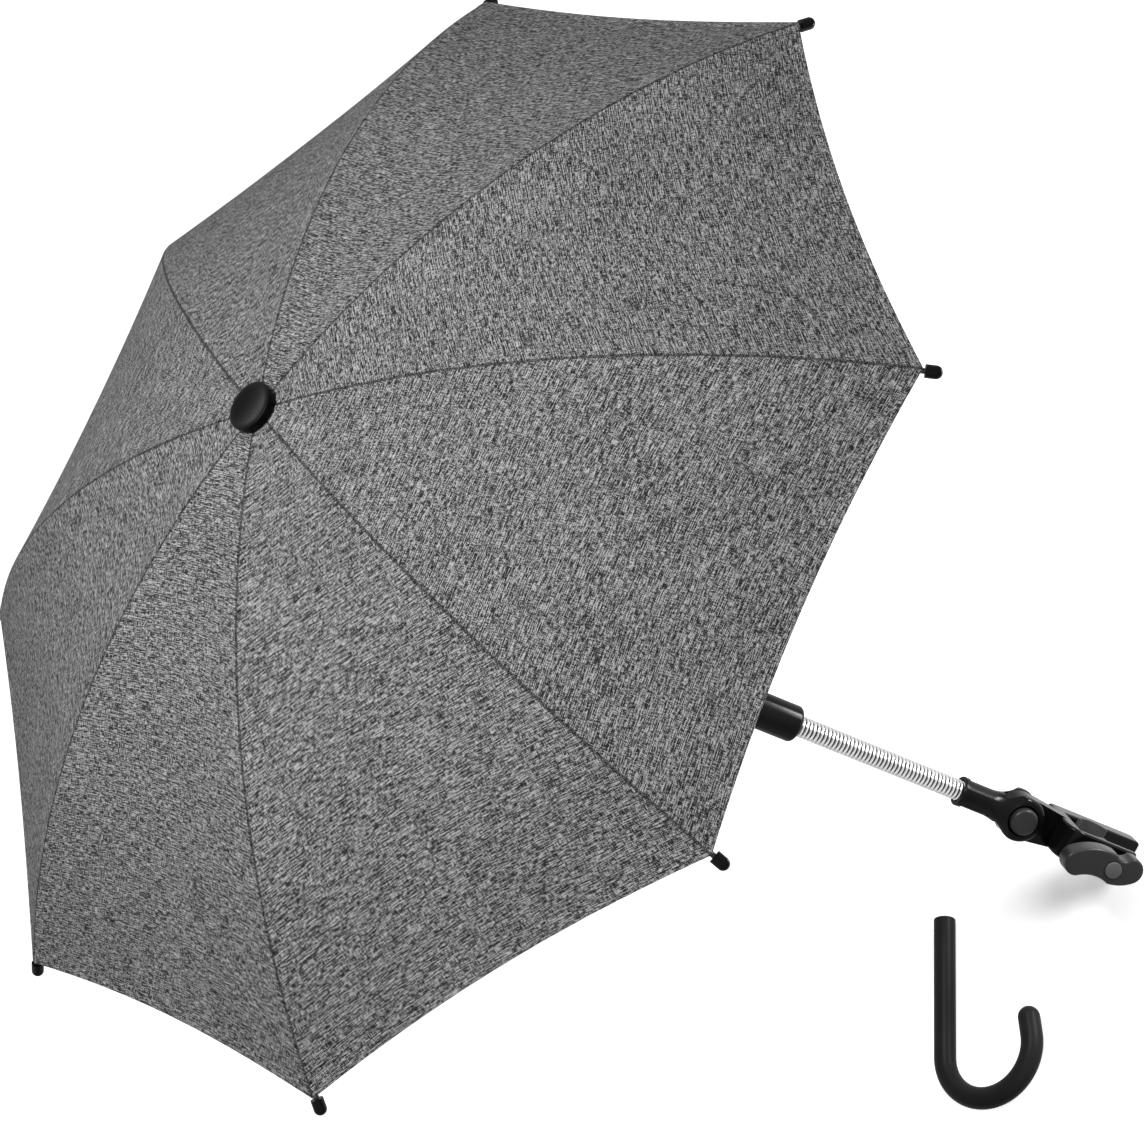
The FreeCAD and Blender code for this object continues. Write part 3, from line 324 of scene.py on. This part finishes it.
class Finish(NodeMaker):
    """A node material under construction."""

    def __init__(self, name):
        self.material = bpy.data.materials.new(name)
        super().__init__(self.material)

    def place(self):
        """Object coordinates in metres."""
        return self.node("ShaderNodeTexCoord", output="Object")

    def noise(self, vector, scale, detail=2.0, roughness=0.5):
        """Smooth noise between 0 and 1."""
        return self.node("ShaderNodeTexNoise", None,
                         {"Vector": vector, "Scale": scale, "Detail": detail, "Roughness": roughness})

    def ramp(self, value, stops):
        """Grey ramp through (place, value) stops."""
        return self.node("ShaderNodeValToRGB", {"stops": stops}, {"Fac": value})

    def blend(self, share, first, second):
        """Colour between two colours."""
        return self.node("ShaderNodeMix", {"data_type": "RGBA"}, {0: share, 6: first, 7: second}, 2)

    def bump(self, height, distance, strength=1.0):
        """Bumped normal from a height."""
        return self.node("ShaderNodeBump", None,
                         {"Height": height, "Distance": distance, "Strength": strength})

    def surface(self, **sockets):
        """Close the material with a principled surface."""
        named = {key.replace("_", " ").title().replace("Ior", "IOR"): value for key, value in sockets.items()}
        shader = self.node("ShaderNodeBsdfPrincipled", None, named)
        self.node("ShaderNodeOutputMaterial", None, {"Surface": shader})
        return self.material


def opaque(colour):
    """Colour with full alpha."""
    return (*colour, 1.0)


def melange_cloth(colours):
    """Grey linen-like weave: light and dark yarn in short streaks both ways, seams and hem."""
    finish = Finish("grey_melange")
    weave = finish.node("ShaderNodeUVMap", {"uv_map": "weave"})
    across, along = finish.outputs("ShaderNodeSeparateXYZ", 0, 1, inputs={0: weave})
    sewing = finish.node("ShaderNodeUVMap", {"uv_map": "sewing"})
    from_seam, from_edge = finish.outputs("ShaderNodeSeparateXYZ", 0, 1, inputs={0: sewing})
    yarn, streak = 1.0 / colours.yarn_width, 1.0 / colours.streak_length
    warp_place = finish.node("ShaderNodeCombineXYZ", None, {0: across * yarn, 1: along * streak, 2: 0.0})
    weft_place = finish.node("ShaderNodeCombineXYZ", None, {0: across * streak, 1: along * yarn, 2: 7.0})
    slub_place = finish.node("ShaderNodeCombineXYZ", None,
                             {0: across * (streak * 0.3), 1: along * (yarn * 0.8), 2: 19.0})
    warp = finish.noise(warp_place, 1.0, detail=1.0)
    weft = finish.noise(weft_place, 1.0, detail=1.0)
    slub = finish.noise(slub_place, 1.0, detail=0.0)
    grain = finish.noise(weave, yarn, detail=0.0)
    cloud = finish.noise(weave, 18.0, detail=2.0)
    melange = warp * 0.45 + weft * 0.55 + (slub - 0.5) * 0.28 + (grain - 0.5) * 0.2 + (cloud - 0.5) * 0.04
    share = finish.ramp(melange, [(0.435, 0.02), (0.475, 0.12), (0.505, 0.25), (0.54, 0.51), (0.588, 1.0)])
    yarn_colour = finish.blend(share, opaque(colours.cloth_dark), opaque(colours.cloth_light))
    wobble = (finish.noise(weave, 420.0) - 0.5) * 0.0012
    seam_mask = (from_seam + wobble) < colours.seam_line
    stitch_line = finish.node("ShaderNodeMath", {"operation": "COMPARE"},
                              {0: from_edge, 1: colours.stitch_inset, 2: colours.stitch_width})
    along_hem = finish.node("ShaderNodeMath", {"operation": "PINGPONG"}, {0: across, 1: colours.stitch_pitch})
    dashes = along_hem > colours.stitch_gap
    shade = 1.0 - finish.node("ShaderNodeMath", {"operation": "MAXIMUM"},
                              {0: seam_mask * 0.66, 1: stitch_line * dashes * 0.45})
    colour = finish.blend(shade, opaque(colours.thread), yarn_colour)
    relief = finish.bump(melange, 0.0004, 0.7)
    return finish.surface(base_color=colour, roughness=0.92, specular_ior_level=0.1, normal=relief)


def moulded_plastic(name, colour, roughness, grain, shine):
    """Satin plastic with a fine moulded grain and uneven gloss."""
    finish = Finish(name)
    place = finish.place()
    fine = finish.noise(place, 2600.0, detail=2.0)
    broad = finish.noise(place, 60.0, detail=3.0)
    tone = finish.blend(broad, opaque([value * 0.82 for value in colour]),
                        opaque([value * 1.2 for value in colour]))
    gloss = roughness + (broad - 0.5) * 0.06 + (fine - 0.5) * 0.04
    return finish.surface(base_color=tone, roughness=gloss, specular_ior_level=shine,
                          normal=finish.bump(fine, grain, 0.35))


def bright_metal(name, colour, roughness, drawn):
    """Bright metal with fine drawn lines along one axis of the piece."""
    finish = Finish(name)
    place = finish.place()
    stretched = finish.node("ShaderNodeVectorMath", {"operation": "MULTIPLY"}, {0: place, 1: drawn})
    lines = finish.noise(stretched, 1.0, detail=3.0)
    cloud = finish.noise(place, 90.0)
    tone = finish.blend(cloud, opaque([value * 0.9 for value in colour]), opaque(colour))
    gloss = roughness + (lines - 0.5) * 0.12
    return finish.surface(base_color=tone, metallic=1.0, roughness=gloss,
                          normal=finish.bump(lines, 0.00003, 0.4))


def enamelled_steel(colour):
    """Black enamel with slight orange peel and bare rubbed spots."""
    finish = Finish("black_enamel")
    place = finish.place()
    peel = finish.noise(place, 900.0)
    rubbed = finish.ramp(finish.noise(place, 140.0, detail=4.0), [(0.66, 0.0), (0.74, 1.0)])
    tone = finish.blend(rubbed, opaque(colour), (0.09, 0.09, 0.09, 1.0))
    return finish.surface(base_color=tone, metallic=0.25, roughness=0.32 + peel * 0.12,
                          normal=finish.bump(peel, 0.00004, 0.4))


def pebbled_rubber():
    """Dull rubber with a pebbled face."""
    finish = Finish("pebbled_rubber")
    place = finish.place()
    pebble = finish.node("ShaderNodeTexVoronoi", None, {"Vector": place, "Scale": 1500.0})
    tone = finish.blend(finish.noise(place, 200.0), (0.016, 0.016, 0.016, 1.0), (0.034, 0.034, 0.034, 1.0))
    return finish.surface(base_color=tone, roughness=0.8, normal=finish.bump(pebble, 0.00012, 0.5))


def turned_brass():
    """Brass with turning lines and a little tarnish."""
    finish = Finish("turned_brass")
    place = finish.place()
    tarnish = finish.noise(place, 260.0, detail=4.0)
    tone = finish.blend(tarnish, (0.62, 0.46, 0.19, 1.0), (0.42, 0.3, 0.13, 1.0))
    return finish.surface(base_color=tone, metallic=1.0, roughness=0.28 + tarnish * 0.2)


def paper_floor(light):
    """White floor that the camera sees as white, with the clamp's soft shadow cast by the lamps and deepened by
    painted shade, a dimmed glow round it, and clear from below.
    """
    finish = Finish("white_floor")
    lens, gloss, through = finish.rays()
    tone = finish.blend(finish.seen_by_lens(), (0.5, 0.5, 0.5, 1.0), (0.85, 0.85, 0.85, 1.0))
    lit = finish.node("ShaderNodeBsdfDiffuse", None, {"Color": tone})
    # Painted shade: share of the dimming, highest where the clamp's shadow falls and none beyond the given
    # radius.
    from_clamp = finish.node("ShaderNodeVectorMath", {"operation": "SUBTRACT"},
                             {0: finish.place(), 1: (*light.painted_shade_place, FLOOR)})
    scaled = finish.node("ShaderNodeVectorMath", {"operation": "MULTIPLY"},
                         {0: from_clamp, 1: (1.0 / light.painted_shade_radius,) * 3})
    painted_shade_share = finish.node("ShaderNodeTexGradient", {"gradient_type": "SPHERICAL"}, {"Vector": scaled}, 1)
    # Painted shade: the white that the camera sees is dimmed round the clamp's shadow, down to the floor glow
    # at its middle.
    strength = lens * (1.0 - painted_shade_share * (1.0 - light.floor_glow)) + (gloss + through) * light.floor_glow
    glow = finish.node("ShaderNodeEmission", None, {"Color": (1, 1, 1, 1), "Strength": strength})
    both = finish.node("ShaderNodeAddShader", None, {0: lit, 1: glow})
    below = finish.node("ShaderNodeNewGeometry", output="Backfacing")
    clear = finish.node("ShaderNodeBsdfTransparent")
    sheet = finish.node("ShaderNodeMixShader", None, {0: below, 1: both, 2: clear})
    finish.node("ShaderNodeOutputMaterial", None, {"Surface": sheet})
    return finish.material


def finish_of(name):
    """A finish, made once and then shared."""
    found = bpy.data.materials.get(name)
    if found:
        return found
    colours = bpy.context.scene.parasol_finishes
    makers = {
        "grey_melange": lambda: melange_cloth(colours),
        "satin_black": lambda: moulded_plastic("satin_black", colours.black, 0.2, 0.00002, 0.1),
        "satin_grey": lambda: moulded_plastic("satin_grey", colours.grey, 0.34, 0.00003, 0.2),
        # Painted light: the cover's plastic is lighter than the knob's, for the light that falls on it.
        "satin_cover_painted_light": lambda: moulded_plastic("satin_cover_painted_light", colours.cover, 0.4, 0.00002, 0.2),
        "satin_handle": lambda: moulded_plastic("satin_handle", colours.handle, 0.4, 0.00002, 0.06),
        "chromed_wire": lambda: bright_metal("chromed_wire", (0.8, 0.8, 0.81), 0.14, (900, 900, 900)),
        "drawn_steel": lambda: bright_metal("drawn_steel", colours.steel, 0.3, (1500, 1500, 30)),
        "turned_steel": lambda: bright_metal("turned_steel", colours.steel, 0.26, (80, 1500, 1500)),
        "dark_core": lambda: bright_metal("dark_core", (0.08, 0.08, 0.085), 0.5, (900, 900, 900)),
        "black_enamel": lambda: enamelled_steel(colours.enamel),
        "pebbled_rubber": pebbled_rubber,
        "turned_brass": turned_brass,
        "white_floor": lambda: paper_floor(bpy.context.scene.parasol_light),
    }
    return makers[name]()


def add_piece(name, bm, finish, body, replaced=(), crease=40.0):
    """Object from a finished bmesh, in place of CAD nodes; it rides on a body if one is named."""
    mesh = bpy.data.meshes.new(name)
    bm.to_mesh(mesh)
    bm.free()
    for polygon in mesh.polygons:
        polygon.use_smooth = True
    mesh.set_sharp_from_angle(angle=math.radians(crease))
    mesh.materials.append(finish_of(finish))
    piece = bpy.data.objects.new(name, mesh)
    bpy.context.scene.collection.objects.link(piece)
    if body:
        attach(piece, body)
    if replaced:
        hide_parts(*replaced)
    return piece


def spun(profile, steps=48):
    """Closed shape turned about Z from (radius, height) corners."""
    bm = bmesh.new()
    points = [bm.verts.new((radius, 0.0, height)) for radius, height in profile]
    edges = [bm.edges.new(pair) for pair in zip(points, points[1:])]
    bmesh.ops.spin(bm, geom=points + edges, cent=(0, 0, 0), axis=(0, 0, 1), angle=2 * math.pi,
                   steps=steps, use_merge=True)
    bmesh.ops.remove_doubles(bm, verts=bm.verts, dist=1e-6)
    bmesh.ops.recalc_face_normals(bm, faces=bm.faces)
    return bm


def soften(bm, width, segments=3, sharper_than=35.0):
    """Round every edge that is sharper than an angle."""
    limit = math.radians(sharper_than)
    edges = [edge for edge in bm.edges if len(edge.link_faces) == 2 and edge.calc_face_angle() > limit]
    bmesh.ops.bevel(bm, geom=edges, offset=width, offset_type="OFFSET", segments=segments, profile=0.5,
                    affect="EDGES", material=-1, clamp_overlap=True)
    bmesh.ops.recalc_face_normals(bm, faces=bm.faces)


def move(bm, matrix):
    """Place a whole bmesh."""
    bmesh.ops.transform(bm, matrix=matrix, verts=bm.verts)


def rod(radius, start, end, segments=32):
    """Capped cylinder between two points."""
    bm = bmesh.new()
    start, end = Vector(start), Vector(end)
    bmesh.ops.create_cone(bm, cap_ends=True, segments=segments, radius1=radius, radius2=radius,
                          depth=(end - start).length)
    turn = (end - start).to_track_quat("Z", "Y").to_matrix().to_4x4()
    move(bm, Matrix.Translation((start + end) / 2) @ turn)
    return bm


class CanopyCloth:
    """Where the cloth lies: arcs over the ribs, with taut gores between them."""

    def __init__(self, sizes):
        self.sizes = sizes
        run = sizes.radius - RING_RADIUS
        self.arc_radius = (run ** 2 + sizes.drop ** 2) / (2 * sizes.drop)
        self.reach = self.arc_radius + sizes.cloth_rise
        self.first = math.asin((sizes.inner_radius - RING_RADIUS) / self.reach)
        self.last = math.asin((sizes.radius - sizes.setback - RING_RADIUS) / self.reach)
        self.length = self.reach * (self.last - self.first)

    def over_rib(self, share):
        """Radius and height of the cloth over a rib, at a share of its length."""
        angle = self.first + (self.last - self.first) * share
        radius = RING_RADIUS + self.reach * math.sin(angle)
        height = CROWN_HEIGHT - self.arc_radius + self.reach * math.cos(angle)
        return radius, height, angle

    def half_width(self, share):
        """From a rib to the middle of the gore, along the straight line between two ribs."""
        return self.over_rib(share)[0] * math.sin(RIB_STEP / 2)

    def point(self, from_seam, from_edge, side):
        """Cloth point on one side of a rib, by distances from its seam and from the outer edge."""
        sizes = self.sizes
        guess = 1.0 - from_edge / self.length
        aside = min(from_seam / self.half_width(guess), 1.0)
        hollow = sizes.scallop * (1.0 - (1.0 - aside) ** 2)
        share = (1.0 - hollow / self.length) * guess
        radius, height, angle = self.over_rib(share)
        lean = side * RIB_STEP
        x = radius * (1.0 + (math.cos(lean) - 1.0) * aside / 2)
        y = radius * math.sin(lean) * aside / 2
        tension = math.sin(math.pi * min(share, 0.999)) ** 0.7 if share > 0 else 0.0
        sag = sizes.sag * (0.35 + 0.65 * tension) * (1.0 - (1.0 - aside) ** 2) * min(1.0, share * 5)
        groove = sizes.groove_depth * max(0.0, 1.0 - from_seam / sizes.seam)
        hem = sizes.hem_lift if from_edge < sizes.hem else 0.0
        lift = hem - sag - groove
        return Vector((x + lift * math.sin(angle) * math.cos(lean * aside / 2),
                       y + lift * math.sin(angle) * math.sin(lean * aside / 2),
                       height + lift * math.cos(angle)))


def stations(fixed, total, count):
    """Distances from 0 to total: a few fixed ones first, then an even spread."""
    last = fixed[-1]
    return fixed + [last + (total - last) * step / count for step in range(1, count + 1)]


def petal(cloth, index):
    """Cloth on one rib, as a grid laid over the dome, with its weave and sewing maps."""
    sizes = cloth.sizes
    seam_steps = [0.0, sizes.seam, 2.2 * sizes.seam]
    step = sizes.hem_step
    edge_steps = stations([0.0, step, sizes.hem - step, sizes.hem, sizes.hem + step], cloth.length, PETAL_ROWS)
    across = len(seam_steps) - 1 + PETAL_COLUMNS
    bm = bmesh.new()
    bmesh.ops.create_grid(bm, x_segments=2 * across, y_segments=len(edge_steps) - 1, size=1.0)
    weave = bm.loops.layers.uv.new("weave")
    sewing = bm.loops.layers.uv.new("sewing")
    laid = {}
    for vert in bm.verts:
        column = round((vert.co.x + 1.0) * across) - across
        row = round((vert.co.y + 1.0) / 2 * (len(edge_steps) - 1))
        from_edge = edge_steps[row]
        width = cloth.half_width(1.0 - from_edge / cloth.length)
        squeeze = min(1.0, width / NARROW_GORE)
        close = [place * squeeze for place in seam_steps]
        from_seam = stations(close, width, PETAL_COLUMNS)[abs(column)]
        side = 1 if column >= 0 else -1
        laid[vert] = (from_seam, from_edge, width)
        vert.co = cloth.point(from_seam, from_edge, side)
    for face in bm.faces:
        middle = sum(1 for loop in face.loops if loop.vert.co.y > 0)
        side = 1 if middle >= 2 else -1
        gore = (index + (0 if side > 0 else -1)) % RIBS
        for loop in face.loops:
            from_seam, from_edge, width = laid[loop.vert]
            offset = -side * (width - from_seam)
            loop[weave].uv = (offset + 0.61 * gore, cloth.length - from_edge + 0.37 * gore)
            loop[sewing].uv = (from_seam, from_edge)
    bmesh.ops.recalc_face_normals(bm, faces=bm.faces)
    move(bm, CANOPY @ Matrix.Rotation(RIB_PHASE + RIB_STEP * index, 4, "Z"))
    return bm


class PARASOL_OT_canopy(bpy.types.Operator):
    """Lay the eight petals of cloth over the ribs"""
    bl_idname = "parasol.canopy"
    bl_label = "Canopy"

    def execute(self, context):
        sizes = context.scene.parasol_canopy
        cloth = CanopyCloth(sizes)
        for index in range(RIBS):
            number = str(index + 1)
            bm = petal(cloth, index)
            area = sum(face.calc_area() for face in bm.faces)
            piece = add_piece("petal_" + number, bm, "grey_melange", "rib_" + number,
                              ["canopy_panel_" + number], crease=180.0)
            wall = piece.modifiers.new("thickness", "SOLIDIFY")
            wall.thickness = sizes.cloth_thickness
            wall.offset = 0.0
            rim = piece.modifiers.new("rim", "EDGE_SPLIT")
            rim.split_angle = math.radians(50)
            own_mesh(piece)
            width = 2 * cloth.half_width(1.0)
        return {"FINISHED"}


class PARASOL_OT_crown_cap(bpy.types.Operator):
    """Turn the dished cap on the crown"""
    bl_idname = "parasol.crown_cap"
    bl_label = "Crown cap"

    def execute(self, context):
        sizes = context.scene.parasol_cap
        low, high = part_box("top_cap")
        radius = (high.x - low.x) / 2
        top = high.z - tilt_pivot.z
        dish = top - sizes.dish_depth
        rim = CROWN_HEIGHT + sizes.rim_lift
        inside, ceiling = radius - sizes.wall, rim + sizes.hollow
        bm = spun([(0.0, dish), (radius - sizes.dish_inset, dish), (radius - sizes.lip_inset, top),
                   (radius, top), (radius, rim), (inside, rim), (inside, ceiling), (0.0, ceiling)], 72)
        soften(bm, sizes.edge)
        move(bm, CANOPY)
        add_piece("crown_cap", bm, "satin_black", "shaft", ["top_cap"])
        return {"FINISHED"}


class PARASOL_OT_knob_cover(bpy.types.Operator):
    """Turn the round cover that closes the knob over its screw"""
    bl_idname = "parasol.knob_cover"
    bl_label = "Knob cover"

    def execute(self, context):
        sizes = context.scene.parasol_arm
        radius, half, gap = sizes.cover_radius, sizes.cover_thickness / 2, sizes.cover_gap
        bm = spun([(0.0, -half), (radius, -half), (radius, -half + gap), (radius - gap, -half + 2 * gap),
                   (radius - gap, half), (0.0, half)], 64)
        soften(bm, gap / 2)
        low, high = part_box("knob_cap")
        outward = Vector(joints["knob_turn"]["axis"])
        if outward.y > 0:
            outward = -outward
        move(bm, Matrix.Translation((low + high) / 2) @ outward.to_track_quat("Z", "Y").to_matrix().to_4x4())
        add_piece("knob_cover", bm, "satin_cover_painted_light", "knob", ["knob_cap"])
        return {"FINISHED"}


class PARASOL_OT_gooseneck(bpy.types.Operator):
    """Wind the chromed gooseneck over its core"""
    bl_idname = "parasol.gooseneck"
    bl_label = "Gooseneck"

    def execute(self, context):
        sizes = context.scene.parasol_arm
        low, high = sizes.neck_low, sizes.neck_high
        wire = self.wound(sizes, low, high)
        core = rod(sizes.core_radius, (0, 0, low - sizes.core_seat), (0, 0, high + sizes.core_seat), CORE_SIDES)
        long_edges = [edge for edge in core.edges if edge.calc_length() > sizes.core_seat]
        bmesh.ops.subdivide_edges(core, edges=long_edges, cuts=CORE_CUTS)
        pieces = [("gooseneck_wire", wire, "chromed_wire", "neck_chrome", "gooseneck_coil"),
                  ("gooseneck_liner", core, "dark_core", "dark_steel", "gooseneck_core")]
        for name, bm, finish, slot, node in pieces:
            move(bm, ARM)
            piece = add_piece(name, bm, finish, None, [node])
            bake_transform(piece)
        return {"FINISHED"}

    def wound(self, sizes, low, high):
        """One round wire wound from low to high."""
        steps = STEPS_PER_TURN * sizes.neck_turns
        bm = bmesh.new()
        bmesh.ops.create_circle(bm, cap_ends=False, segments=WIRE_SIDES, radius=sizes.neck_wire / 2)
        move(bm, Matrix.Translation((sizes.neck_radius, 0, low)) @ Matrix.Rotation(math.pi / 2, 4, "X"))
        bmesh.ops.spin(bm, geom=bm.verts[:] + bm.edges[:], cent=(0, 0, 0), axis=(0, 0, 1),
                       dvec=(0, 0, (high - low) / steps), angle=2 * math.pi * sizes.neck_turns, steps=steps,
                       use_merge=False)
        bmesh.ops.holes_fill(bm, edges=bm.edges, sides=0)
        bmesh.ops.recalc_face_normals(bm, faces=bm.faces)
        return bm


CAD_FINISHES = {
    "black_enamel": [kind + str(n + 1) for kind in ("rib_", "stretcher_") for n in range(RIBS)],
    "satin_black": ["rib_tip_" + str(n + 1) for n in range(RIBS)] + [
        "crown", "tilt_tongue", "runner", "collar", "knuckle_fork", "clamp_body", "pressure_pad"],
    "satin_grey": ["runner_button", "knuckle_button", "wing_knob"],
    "satin_handle": ["j_handle"],
    "drawn_steel": ["shaft_tube"],
    "turned_steel": ["crown_ring", "tilt_pin", "knuckle_pin", "clamp_screw"],
    "pebbled_rubber": ["jaw_pad", "pressure_pad_facing"],
    "turned_brass": ["threaded_insert"],
}


class PARASOL_OT_metalwork(bpy.types.Operator):
    """Finish the frame's own pieces"""
    bl_idname = "parasol.metalwork"
    bl_label = "Frame pieces"

    def execute(self, context):
        for finish, names in CAD_FINISHES.items():
            for name in names:
                node = frame["nodes"][name]
                if node.hide_render:
                    continue
                node.data.materials.clear()
                node.data.materials.append(finish_of(finish))
                for polygon in node.data.polygons:
                    polygon.use_smooth = True
                weld = node.modifiers.new("weld", "WELD")
                weld.merge_threshold = 1e-6
                split = node.modifiers.new("creases", "EDGE_SPLIT")
                split.split_angle = math.radians(35)
        return {"FINISHED"}


class PARASOL_OT_stage(bpy.types.Operator):
    """Set up the floor, the light and the camera"""
    bl_idname = "parasol.stage"
    bl_label = "Stage"

    def execute(self, context):
        scene = context.scene
        scene.view_settings.view_transform = "Standard"
        self.lay_floor(scene)
        self.light(scene)
        self.place_camera(scene)
        return {"FINISHED"}

    def lay_floor(self, scene):
        bm = bmesh.new()
        bmesh.ops.create_grid(bm, x_segments=1, y_segments=1, size=12.0)
        move(bm, Matrix.Translation((0, 0, FLOOR - 0.0002)))
        mesh = bpy.data.meshes.new("floor")
        bm.to_mesh(mesh)
        bm.free()
        mesh.materials.append(finish_of("white_floor"))
        floor = bpy.data.objects.new("floor", mesh)
        scene.collection.objects.link(floor)

    def light(self, scene):
        light = scene.parasol_light
        world = bpy.data.worlds.new("studio")
        nodes = NodeMaker(world)
        strength = light.sky + (1.0 - light.sky) * nodes.seen_by_lens()
        sky = nodes.node("ShaderNodeBackground", None, {"Color": (1, 1, 1, 1), "Strength": strength})
        nodes.node("ShaderNodeOutputWorld", None, {"Surface": sky})
        scene.world = world
        lamps = [("top", (-0.1, -0.11, 2.05), (0.0, 0.14, 0.7), (1.0, 1.0), light.top_power),
                 ("key", (0.075, -0.05, 0.45), (-0.02, 0.05, -0.04), (0.12, 0.12), light.key_power),
                 ("strip", (0.4, -0.42, 0.11), (0.0, 0.02, 0.06), (0.3, 0.08), light.strip_power)]
        for name, place, aim, size, power in lamps:
            data = bpy.data.lights.new(name, "AREA")
            data.shape = "RECTANGLE"
            data.size, data.size_y = size
            data.energy = power
            lamp = bpy.data.objects.new(name, data)
            lamp.location = place
            lamp.rotation_euler = (Vector(aim) - lamp.location).to_track_quat("-Z", "Y").to_euler()
            lamp.visible_camera = False
            scene.collection.objects.link(lamp)

    def place_camera(self, scene):
        view = scene.parasol_camera
        forward = Vector(view.forward).normalized()
        up = Vector(view.right).cross(forward).normalized()
        right = forward.cross(up)
        data = bpy.data.cameras.new("camera")
        data.sensor_width = 36.0
        data.lens = view.lens
        camera = bpy.data.objects.new("camera", data)
        turn = Matrix((right, up, -forward)).transposed().to_4x4()
        camera.matrix_world = Matrix.Translation(view.place) @ turn
        scene.collection.objects.link(camera)
        scene.camera = camera


OPERATORS = [PARASOL_OT_canopy, PARASOL_OT_crown_cap, PARASOL_OT_knob_cover, PARASOL_OT_gooseneck,
             PARASOL_OT_metalwork, PARASOL_OT_stage]
GROUPS = {"parasol_canopy": CanopySizes, "parasol_arm": ArmSizes, "parasol_cap": CapSizes,
          "parasol_finishes": Finishes, "parasol_light": StudioLight, "parasol_camera": StudioCamera}


class PARASOL_PT_panel(bpy.types.Panel):
    """Sidebar list of the parasol's pieces and sizes"""
    bl_idname = "PARASOL_PT_panel"
    bl_label = "Pram parasol"
    bl_space_type = "VIEW_3D"
    bl_region_type = "UI"
    bl_category = "Parasol"

    def draw(self, context):
        for operator in OPERATORS:
            self.layout.operator(operator.bl_idname)
        for name, group in GROUPS.items():
            box = self.layout.box()
            for prop in group.__annotations__:
                box.prop(getattr(context.scene, name), prop)


def register():
    for group in GROUPS.values():
        bpy.utils.register_class(group)
    for name, group in GROUPS.items():
        setattr(bpy.types.Scene, name, PointerProperty(type=group))
    for operator in OPERATORS:
        bpy.utils.register_class(operator)
    bpy.utils.register_class(PARASOL_PT_panel)


def unregister():
    bpy.utils.unregister_class(PARASOL_PT_panel)
    for operator in reversed(OPERATORS):
        bpy.utils.unregister_class(operator)
    for name, group in GROUPS.items():
        delattr(bpy.types.Scene, name)
        bpy.utils.unregister_class(group)


def main():
    register()
    bpy.ops.parasol.canopy()
    bpy.ops.parasol.crown_cap()
    bpy.ops.parasol.knob_cover()
    bpy.ops.parasol.gooseneck()
    bpy.ops.parasol.metalwork()
    bpy.ops.parasol.stage()


if __name__ == "__main__":
    main()
